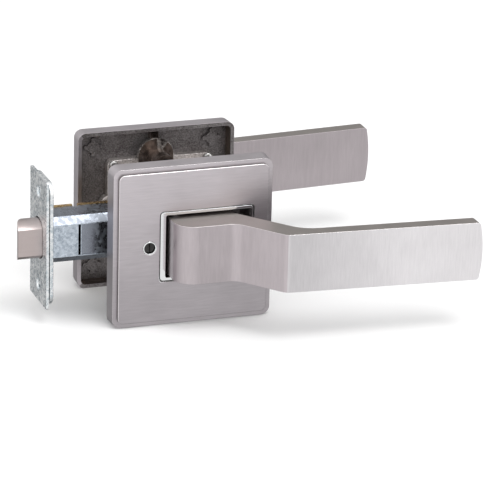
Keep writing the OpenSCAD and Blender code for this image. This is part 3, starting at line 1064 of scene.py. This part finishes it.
@dataclass
class RoseSet:
    """One side's square rose with its bezel, housing, pin, spring and screws."""

    side: Side
    trees: NodeTrees
    edge_round: float = 0.9 * MM
    panel_round: float = 0.35 * MM
    small_round: float = 0.25 * MM
    pin_round: float = 0.2 * MM
    draft: float = 0.3 * MM
    wall: float = 1.7 * MM
    wall_band: float = 2.0 * MM
    hollow: float = 6.6 * MM
    rim_height: float = 7.5 * MM
    rim_band: float = 1.0 * MM
    window_band: float = 0.6 * MM
    panel_face: float = 0.97
    flange: float = 4.0 * MM
    bolt_head: float = 4.0 * MM
    post: float = 4.7 * MM
    ring: float = 8.2 * MM
    rib: float = 1.9 * MM
    cavity_depth: float = 5.7 * MM
    skin_step: float = 3.0 * MM
    skin_passes: int = 4
    skin_depth: float = 0.12 * MM
    skin_grains_per_m: float = 700.0
    spring_wire: float = 0.25 * MM
    spring_turns: float = 2.0

    def __post_init__(self) -> None:
        """Reads the rose's size and its window from the frame."""
        low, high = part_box(named(self.side, "rose"))
        self.half = high[2]
        self.face = max(abs(low[1]), abs(high[1]))
        flange_side = max(abs(corner[1]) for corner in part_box(named(self.side, "housing")))
        self.door = flange_side - self.hollow
        self.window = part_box(named(self.side, "bezel"))
        self.bolt_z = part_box("through_bolts")[1][2] - self.bolt_head

    def out(self, place: Vector) -> float:
        """How far a place lies out from the door's face."""
        return self.side.value * place.y - self.door

    def reach(self, place: Vector) -> float:
        """How far a place lies from the rose's middle, square-wise."""
        return max(abs(place.x), abs(place.z))

    def near_window(self, place: Vector) -> bool:
        """Whether a place is in the window or on its edge.

        Args:
            place: the place.

        Returns:
            True inside the window and its edge band.
        """
        low, high = self.window
        band = self.window_band
        inside_x = low[0] - band < place.x < high[0] + band
        return inside_x and low[2] - band < place.z < high[2] + band

    def on_window_edge(self, place: Vector, normal: Vector) -> bool:
        """Whether a face is on the polished edge of the window in the front panel."""
        at_edge = self.near_window(place) and self.out(place) > self.hollow
        return at_edge and abs(normal.y) < self.panel_face

    def on_post(self, place: Vector) -> bool:
        """Whether a place is on a bolt post or the rib beside it.

        Args:
            place: the place.

        Returns:
            True on the post or the rib, clear of the hollow's floor.
        """
        up = abs(place.z) - self.bolt_z
        on_rib = abs(place.x) < self.rib and up > 0
        return (on_rib or math.hypot(place.x, up) < self.post) and self.out(place) < self.hollow - SLACK

    def on_ring(self, place: Vector) -> bool:
        """Whether a place is on the ring round a bolt post."""
        across = math.hypot(place.x, abs(place.z) - self.bolt_z)
        return self.post < across < self.ring and self.out(place) < self.hollow - self.flange + SLACK

    def on_hollow_wall(self, place: Vector, normal: Vector) -> bool:
        """Whether a face is on the side walls inside the hollow."""
        at_wall = self.reach(place) > self.half - self.wall - self.wall_band
        return at_wall and abs(normal.y) < SIDEWAYS and self.in_hollow(place)

    def in_hollow(self, place: Vector) -> bool:
        """Whether a place is on the rough inside of the shell."""
        within = self.half - self.wall - self.reach(place)
        return min(within, self.hollow - self.out(place)) > -SLACK / 2

    def on_step(self, place: Vector, normal: Vector) -> bool:
        """Whether a face is on the side of the low step round the front panel, where shade is painted."""
        on_front = self.out(place) > self.rim_height - SLACK and not self.near_window(place)
        return on_front and abs(normal.y) < SIDEWAYS

    def on_front_edge(self, place: Vector, normal: Vector) -> bool:
        """Whether a face is on the rounded outer edge of the front or of the raised panel, where a highlight
        is painted.
        """
        at_front = self.out(place) > self.rim_height - self.rim_band and not self.near_window(place)
        return at_front and is_rounded(self.side.value * normal.y)

    def front_edges(self, work: bmesh.types.BMesh) -> list[bmesh.types.BMEdge]:
        """The outer edge of the rose's front.

        Args:
            work: the rose's mesh.

        Returns:
            The edges.
        """
        front = self.rim_height - 3 * SLACK
        rim = self.half - 4 * SLACK
        return sharp_edges(
            work,
            lambda a, b: min(self.out(a), self.out(b)) > front and min(self.reach(a), self.reach(b)) > rim,
        )

    def draw_in(self, work: bmesh.types.BMesh) -> None:
        """Gives the side walls their draft, so that the rose is narrower towards its front.

        Args:
            work: the rose's mesh.
        """
        for vert in work.verts:
            if self.reach(vert.co) > self.half - self.wall + SLACK:
                share = max(0.0, self.out(vert.co)) / self.rim_height
                pull = 1 - self.draft / self.half * min(share, 1.0)
                vert.co.x *= pull
                vert.co.z *= pull

    def build_rose(self) -> None:
        """The rose's shell: drafted walls, a rounded front edge and a lightly broken panel edge."""
        work = merged_copy(named(self.side, "rose"))
        round_over(work, self.front_edges(work), self.edge_round, steps=4)
        self.draw_in(work)
        panel_level = self.face - self.door - 2 * SLACK
        panel = sharp_edges(work, lambda a, b: min(self.out(a), self.out(b)) > panel_level)
        round_over(work, panel, self.panel_round)
        inner_level = self.hollow - 2 * SLACK
        inner = sharp_edges(work, lambda a, b: max(self.out(a), self.out(b)) < inner_level)
        round_over(work, inner, self.small_round, steps=2)
        piece = finished_piece(named(self.side, "rose_cover"), work)
        # Painted light on the rose: the panel nickel's slope is a painted reflection, the step's dark sides
        # are painted shade, and the ring's glints and the bright front edges are painted highlights.
        paint(
            piece, PANEL_NICKEL,
            (ROUGH_CAST, lambda c, n: self.in_hollow(c)),
            (WALL_CAST, self.on_hollow_wall),
            (POST_CAST, lambda c, n: self.in_hollow(c) and self.on_post(c)),
            (RING_GLINT_CAST, lambda c, n: self.in_hollow(c) and self.on_ring(c)),
            (STEP_SHADE_NICKEL, self.on_step),
            (HIGHLIGHT_NICKEL, self.on_front_edge),
            (CHROME, self.on_window_edge),
        )
        settle(piece, "frame", named(self.side, "rose"))

    def build_bezel(self) -> None:
        """The polished frame in the window."""
        piece = rounded_copy(named(self.side, "bezel"), named(self.side, "window_bezel"), self.small_round)
        paint(piece, CHROME)
        settle(piece, "frame", named(self.side, "bezel"))

    def in_cavity(self, place: Vector, normal: Vector) -> bool:
        """Whether a face of the housing is in the cavity behind the window, which gets the dark cast as
        painted shade.

        Args:
            place: the face's middle.
            normal: its normal, which does not matter here.

        Returns:
            True in the cavity.
        """
        low, high = self.window
        across = low[0] - self.window_band < place.x < high[0]
        return across and abs(place.z) < high[2] - self.window_band and self.out(place) > -self.cavity_depth

    def build_housing(self) -> None:
        """The cast housing behind the window, with its rough skin and a dark cavity, painted shade in the
        hole behind the window.
        """
        work = merged_copy(named(self.side, "housing"))
        bmesh.ops.triangulate(work, faces=work.faces)
        for _ in range(self.skin_passes):
            long_edges = [edge for edge in work.edges if edge.calc_length() > self.skin_step]
            bmesh.ops.subdivide_edges(work, edges=long_edges, cuts=1, use_grid_fill=True)
            bmesh.ops.triangulate(work, faces=work.faces)
        start = bpy.data.meshes.new("housing_start")
        work.to_mesh(start)
        work.free()
        start.materials.clear()
        piece = self.trees.skin.run(named(self.side, "cast_housing"), start, {
            "Depth": self.skin_depth, "Grains per Metre": self.skin_grains_per_m, "Level": 1,
            "Material": BRIGHT_CAST.material(),
        })
        piece.data.set_sharp_from_angle(angle=CORNER_ANGLE)
        # The dark cast in the cavity is painted shade.
        paint(piece, BRIGHT_CAST, (ROUGH_CAST, self.in_cavity))
        settle(piece, "frame", named(self.side, "housing"))

    def build_screws(self) -> None:
        """Four cross-head screws that hold the housing, heads towards the door."""
        sizes = FastenerSizes(
            head_radius=2.0 * MM, head_height=1.4 * MM, rim_height=0.5 * MM,
            shank_radius=1.2 * MM, shank_length=4.9 * MM,
            recess_length=2.4 * MM, recess_width=0.6 * MM, recess_depth=0.8 * MM,
        )
        node = named(self.side, "housing_screws")
        seat = self.side.value * (self.door + self.hollow - self.flange)
        spots = corner_spots(node, sizes.head_radius, seat)
        turn = self.side.value * math.pi / 2
        piece = self.trees.set_fasteners(named(self.side, "plate_screws"), sizes, spots, turn)
        settle(piece, "frame", node)

    def build_pin_and_spring(self) -> None:
        """The lever's pivot pin and the return spring round it."""
        pin = rounded_copy(named(self.side, "pivot_pin"), named(self.side, "hinge_pin"), self.pin_round)
        paint(pin, OILED_STEEL)
        settle(pin, "frame", named(self.side, "pivot_pin"))
        node = named(self.side, "return_spring")
        low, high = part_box(node)
        wire = self.spring_wire
        spot = ((low[0] + high[0]) / 2, (low[1] + high[1]) / 2, low[2])
        spring = self.trees.spring.run(named(self.side, "lever_spring"), points_mesh([spot]), {
            "Coil Radius": (high[0] - low[0]) / 2 - wire, "Wire Radius": wire,
            "Turns": self.spring_turns, "Length": high[2] - low[2],
            "Turned": (0.0, 0.0, 0.0), "Material": SPRING_WIRE.material(),
        })
        settle(spring, "frame", node)

    def build(self) -> None:
        """Builds everything on this side that is fixed to the door."""
        self.build_rose()
        self.build_bezel()
        self.build_housing()
        self.build_screws()
        self.build_pin_and_spring()


@dataclass
class Lever:
    """A push-pull lever, brushed up and down."""

    side: Side
    edge_round: float = 0.75 * MM
    tip_reach: float = 4.0 * MM
    heel_depth: float = 27.5 * MM
    neck_end: float = 30.0 * MM
    door_facing: float = 0.3

    def build(self) -> None:
        """Rounds the long edges and the tip, paints shade and highlights into the nickel, and dresses the
        heel behind the hub as rough casting.
        """
        node = named(self.side, "lever")
        work = merged_copy(node)
        low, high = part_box(node)
        top, bottom = high[2] - SLACK, low[2] + SLACK
        tip = high[0] - self.tip_reach
        rims = sharp_edges(
            work, lambda a, b: min(a.z, b.z) > top or max(a.z, b.z) < bottom or min(a.x, b.x) > tip
        )
        round_over(work, rims, self.edge_round, steps=4)
        piece = finished_piece(named(self.side, "push_pull_lever"), work)
        out = self.side.value
        # Painted light on the lever: the lever nickel's slope is a painted reflection, the darker copies are
        # painted shade on the hub, on faces towards the door and on the tops and bottoms, and the bright
        # nickel is a painted highlight on the rounded edges.
        paint(
            piece, LEVER_NICKEL,
            (SHADED_LEVER_NICKEL, lambda c, n: c.x < self.neck_end or out * n.y < -self.door_facing),
            (SHADED_TOP_NICKEL, lambda c, n: abs(n.z) > ROUND_TO),
            (HIGHLIGHT_NICKEL, lambda c, n: is_rounded(abs(n.z)) and out * n.y > 0),
            (BRIGHT_CAST, lambda c, n: abs(c.y) < self.heel_depth and abs(n.z) < SIDEWAYS),
        )
        settle(piece, named(self.side, "lever_arm"), node)


@dataclass
class Drive:
    """The square spindle, the drive barrels with their clips, and the latch hub."""

    small_round: float = 0.2 * MM

    def build(self) -> None:
        """Builds the parts that turn with the spindle."""
        parts: tuple[tuple[str, str, Finish, str], ...] = (
            ("square_spindle", "spindle_bar", OILED_STEEL, "bare_steel"),
            ("outer_drive_barrel", "outer_barrel", BRIGHT_CAST, "cast_zinc"),
            ("inner_drive_barrel", "inner_barrel", BRIGHT_CAST, "cast_zinc"),
            ("outer_circlip", "outer_clip", SPRING_WIRE, "spring_steel"),
            ("inner_circlip", "inner_clip", SPRING_WIRE, "spring_steel"),
            ("latch_hub", "follower", BRIGHT_CAST, "cast_zinc"),
        )
        for node, name, finish, slot in parts:
            piece = rounded_copy(node, name, self.small_round)
            paint(piece, finish)
            settle(piece, "spindle_group", node)


@dataclass
class PrivacyTurn:
    """The thumb turn inside, the slotted release outside and what joins them."""

    small_round: float = 0.2 * MM
    turn_round: float = 0.6 * MM
    ring_round: float = 0.15 * MM

    def build(self) -> None:
        """Builds the turning parts and the fixed ferrule round the release hole."""
        turning: tuple[tuple[str, str, Finish, str, float], ...] = (
            ("thumb_turn", "thumb_piece", PANEL_NICKEL, "satin_nickel", self.turn_round),
            ("thumb_turn_washer", "turn_washer", OILED_STEEL, "bare_steel", self.small_round),
            ("privacy_spindle", "flat_spindle", OILED_STEEL, "bare_steel", self.small_round),
            # The slotted pin's near-black steel is painted shade in the release hole.
            ("release_slot_pin", "slotted_pin", SHADED_PIN_STEEL, "bare_steel", self.small_round),
            ("privacy_cam", "blocking_cam", BRIGHT_CAST, "cast_zinc", self.small_round),
        )
        for node, name, finish, slot, width in turning:
            piece = rounded_copy(node, name, width, steps=4)
            paint(piece, finish)
            settle(piece, "privacy_group", node)
        ring = rounded_copy("release_ferrule", "release_ring", self.ring_round)
        paint(ring, CHROME)
        settle(ring, "frame", "release_ferrule")


@dataclass
class Latch:
    """The tubular latch: faceplate, flange, case, cover, bolt, spring and rivets."""

    trees: NodeTrees
    plate_round: float = 0.2 * MM
    flange_round: float = 0.3 * MM
    sheet_round: float = 0.15 * MM
    bolt_round: float = 0.5 * MM
    bolt_corner: float = math.radians(35)
    wire: float = 0.45 * MM
    turns: float = 8.0
    throw: float = 10.4 * MM
    recess_from: float = 0.16 * MM
    recess_facing: float = 0.95
    chamfer_slope: float = 0.4

    def __post_init__(self) -> None:
        """Reads from the frame how far the case comes out."""
        self.near_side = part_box("latch_case")[0][1]

    def build_plates(self) -> None:
        """Faceplate, flange and the case with its brass-coloured cover."""
        parts: tuple[tuple[str, str, Finish, str, float], ...] = (
            ("latch_faceplate", "edge_plate", SPANGLED_ZINC, "bright_zinc_plate", self.plate_round),
            ("latch_flange", "backing_flange", SPANGLED_ZINC, "bright_zinc_plate", self.flange_round),
            ("latch_case", "case_shell", RECESS_AND_SHADE_ZINC, "bright_zinc_plate", self.sheet_round),
            ("latch_cover", "case_cover", YELLOW_ZINC, "yellow_zinc_plate", self.sheet_round),
        )
        for node, name, finish, slot, width in parts:
            piece = rounded_copy(node, name, width)
            if node == "latch_case":
                # The darker zinc darkens the case's recess and is painted shade on its chamfers, top and
                # bottom.
                paint(piece, CASE_ZINC, (finish, self.on_dull_side))
            else:
                paint(piece, finish)
            settle(piece, "frame", node)

    def on_dull_side(self, place: Vector, normal: Vector) -> bool:
        """Whether a face of the case gets the darker zinc: in its shallow recess, and as painted shade on a
        chamfer, on top or below.

        Args:
            place: the face's middle.
            normal: its normal.

        Returns:
            True where the darker zinc goes.
        """
        deep = place.y - self.near_side > self.recess_from and normal.y < -self.recess_facing
        return deep or abs(normal.z) > self.chamfer_slope

    def build_bolt(self) -> None:
        """The sloped latch bolt and the rails that pull it."""
        bolt = rounded_copy("latch_bolt", "sloped_bolt", self.bolt_round, steps=4, angle=self.bolt_corner)
        paint(bolt, BOLT_NICKEL)
        settle(bolt, "bolt_group", "latch_bolt")
        tail = rounded_copy("bolt_tail", "draw_rails", self.plate_round, steps=2)
        paint(tail, OILED_STEEL)
        settle(tail, "bolt_group", "bolt_tail")

    def build_spring(self) -> None:
        """The spring behind the bolt, towards the case's inner wall."""
        low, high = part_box("bolt_spring")
        start = (low[0], (low[1] + high[1]) / 2, (low[2] + high[2]) / 2)
        length = high[0] - low[0]
        spring = self.trees.spring.run("bolt_coil", points_mesh([start]), {
            "Coil Radius": (high[2] - low[2]) / 2 - self.wire, "Wire Radius": self.wire, "Turns": self.turns,
            "Length": length, "Turned": (0.0, math.pi / 2, 0.0), "Material": SPRING_WIRE.material(),
        })
        settle(spring, "frame", "bolt_spring")
        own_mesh(spring)

    def build_rivets(self) -> None:
        """The rivets that hold the cover on the case."""
        sizes = FastenerSizes(
            head_radius=1.5 * MM, head_height=0.5 * MM, rim_height=0.1 * MM,
            shank_radius=0.9 * MM, shank_length=1.6 * MM,
            recess_length=0.5 * MM, recess_width=0.5 * MM, recess_depth=0.15 * MM,
        )
        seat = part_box("case_rivets")[1][1] - sizes.head_height
        spots = corner_spots("case_rivets", sizes.head_radius, seat)
        piece = self.trees.set_fasteners("cover_rivets", sizes, spots, -math.pi / 2)
        settle(piece, "frame", "case_rivets")

    def build(self) -> None:
        """Builds the whole latch."""
        self.build_plates()
        self.build_bolt()
        self.build_spring()
        self.build_rivets()


@dataclass
class ThroughBolts:
    """The two long screws that clamp the roses to the door."""

    trees: NodeTrees
    head_radius: float = 4.0 * MM
    head_height: float = 2.2 * MM
    rim_height: float = 1.5 * MM
    shank_radius: float = 2.4 * MM
    recess_length: float = 4.4 * MM
    recess_width: float = 1.0 * MM
    recess_depth: float = 1.2 * MM

    def build(self) -> None:
        """Both bolts, heads on the inside."""
        low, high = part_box("through_bolts")
        seat = high[1] - self.head_height
        sizes = FastenerSizes(
            self.head_radius, self.head_height, self.rim_height, self.shank_radius, seat - low[1],
            self.recess_length, self.recess_width, self.recess_depth,
        )
        spots = [(0.0, seat, low[2] + self.head_radius), (0.0, seat, high[2] - self.head_radius)]
        piece = self.trees.set_fasteners("clamp_bolts", sizes, spots, -math.pi / 2)
        settle(piece, "frame", "through_bolts")


# ---------- studio ----------


def clear_startup() -> None:
    """Removes the objects that Blender's startup file brings."""
    for name in ("Cube", "Light", "Camera"):
        if name in bpy.data.objects:
            bpy.data.objects.remove(bpy.data.objects[name])


@dataclass(frozen=True)
class SoftLight:
    """A square soft light that faces the object: its place and size in metres, its power in watts."""

    name: str
    place: Triple
    size: float
    power: float


KEY_LIGHT = SoftLight("key", place=(0.3, -0.7, 1.5), size=0.8, power=9.0)
FILL_LIGHT = SoftLight("fill", place=(1.3, -1.1, 0.4), size=0.8, power=3.0)


@dataclass
class Studio:
    """Floor, soft lights and the camera."""

    floor_size: float = 4.0
    floor_light: Colour = (0.96, 0.96, 0.96)
    floor_dark: Colour = (0.93, 0.93, 0.93)
    floor_specks_per_m: float = 30.0
    floor_roughness: float = 0.9
    azimuth: float = math.radians(19.475)
    elevation: float = math.radians(19.643)
    roll: float = math.radians(1.367)
    lens: float = 263.56
    film_width: float = 36.0
    nearest: float = 0.05
    farthest: float = 20.0
    distance: float = 1.5291
    aim: Triple = (0.02904, -0.01377, -0.00925)
    room_light: float = 0.75
    brighter_towards: Triple = (-0.32, -0.38, 0.36)
    darkest: float = 0.06

    def build_floor(self) -> None:
        """A wide pale floor under the roses."""
        low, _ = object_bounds()
        mesh = bpy.data.meshes.new("studio_floor")
        half = self.floor_size / 2
        height = low[2]
        corners = [(x * half, y * half, height) for x, y in ((-1, -1), (1, -1), (1, 1), (-1, 1))]
        mesh.from_pydata(corners, [], [(0, 1, 2, 3)])
        floor = new_piece("studio_floor", mesh)
        shade = Shade("pale_floor")
        speck = shade.noise(shade.place(), self.floor_specks_per_m, detail=2, rough=0.5)
        colour = shade.mixed(speck, self.floor_dark, self.floor_light)
        shade.link(colour, shade.shader.inputs["Base Color"])
        shade.shader.inputs["Roughness"].default_value = self.floor_roughness
        mesh.materials.append(shade.material)
        floor.visible_glossy = False
        floor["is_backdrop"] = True

    def build_camera(self) -> None:
        """The camera, a long lens a metre and a half away."""
        data = bpy.data.cameras.new("camera")
        data.lens = self.lens
        data.sensor_width = self.film_width
        data.clip_start = self.nearest
        data.clip_end = self.farthest
        camera = bpy.data.objects.new("camera", data)
        bpy.context.scene.collection.objects.link(camera)
        ahead = Vector((
            math.sin(self.azimuth) * math.cos(self.elevation),
            math.cos(self.azimuth) * math.cos(self.elevation),
            -math.sin(self.elevation),
        ))
        camera.location = Vector(self.aim) - ahead * self.distance
        look = ahead.to_track_quat("-Z", "Y").to_matrix().to_4x4()
        roll = Matrix.Rotation(self.roll, 4, "Z")
        camera.matrix_world = Matrix.Translation(camera.location) @ look @ roll
        bpy.context.scene.camera = camera

    def add_light(self, lamp: SoftLight) -> None:
        """Puts up a light that faces the object.

        Args:
            lamp: the light.
        """
        data = bpy.data.lights.new(lamp.name, "AREA")
        data.shape = "SQUARE"
        data.size = lamp.size
        data.energy = lamp.power
        light = bpy.data.objects.new(lamp.name, data)
        light.location = lamp.place
        towards = Vector(self.aim) - Vector(lamp.place)
        light.rotation_euler = towards.to_track_quat("-Z", "Y").to_euler()
        bpy.context.scene.collection.objects.link(light)

    def build_world(self) -> None:
        """A pale room, brighter in front of the object and above it than behind and below it."""
        world = bpy.data.worlds.new("room")
        bpy.context.scene.world = world
        world.use_nodes = True
        tree = world.node_tree
        coord = tree.nodes.new("ShaderNodeTexCoord")
        lean = tree.nodes.new("ShaderNodeVectorMath")
        lean.operation = "DOT_PRODUCT"
        lean.inputs[1].default_value = self.brighter_towards
        level = tree.nodes.new("ShaderNodeMath")
        level.operation = "ADD"
        level.inputs[1].default_value = self.room_light
        floor_level = tree.nodes.new("ShaderNodeMath")
        floor_level.operation = "MAXIMUM"
        floor_level.inputs[1].default_value = self.darkest
        tree.links.new(coord.outputs["Generated"], lean.inputs[0])
        tree.links.new(lean.outputs["Value"], level.inputs[0])
        tree.links.new(level.outputs[0], floor_level.inputs[0])
        background = tree.nodes["Background"]
        background.inputs["Color"].default_value = (1.0, 1.0, 1.0, 1.0)
        tree.links.new(floor_level.outputs[0], background.inputs["Strength"])

    def build(self) -> None:
        """Builds the studio."""
        self.build_floor()
        self.build_camera()
        self.build_world()
        for lamp in (KEY_LIGHT, FILL_LIGHT):
            self.add_light(lamp)
        bpy.context.scene.view_settings.view_transform = "Standard"


def main() -> None:
    """Builds every sub-assembly, then the studio."""
    logging.basicConfig(level=logging.INFO, format="%(name)s: %(message)s")
    clear_startup()
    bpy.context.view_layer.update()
    trees = NodeTrees.build()
    for side in Side:
        RoseSet(side, trees).build()
        Lever(side).build()
    Drive().build()
    PrivacyTurn().build()
    Latch(trees).build()
    ThroughBolts(trees).build()
    Studio().build()


if __name__ == "__main__":
    main()
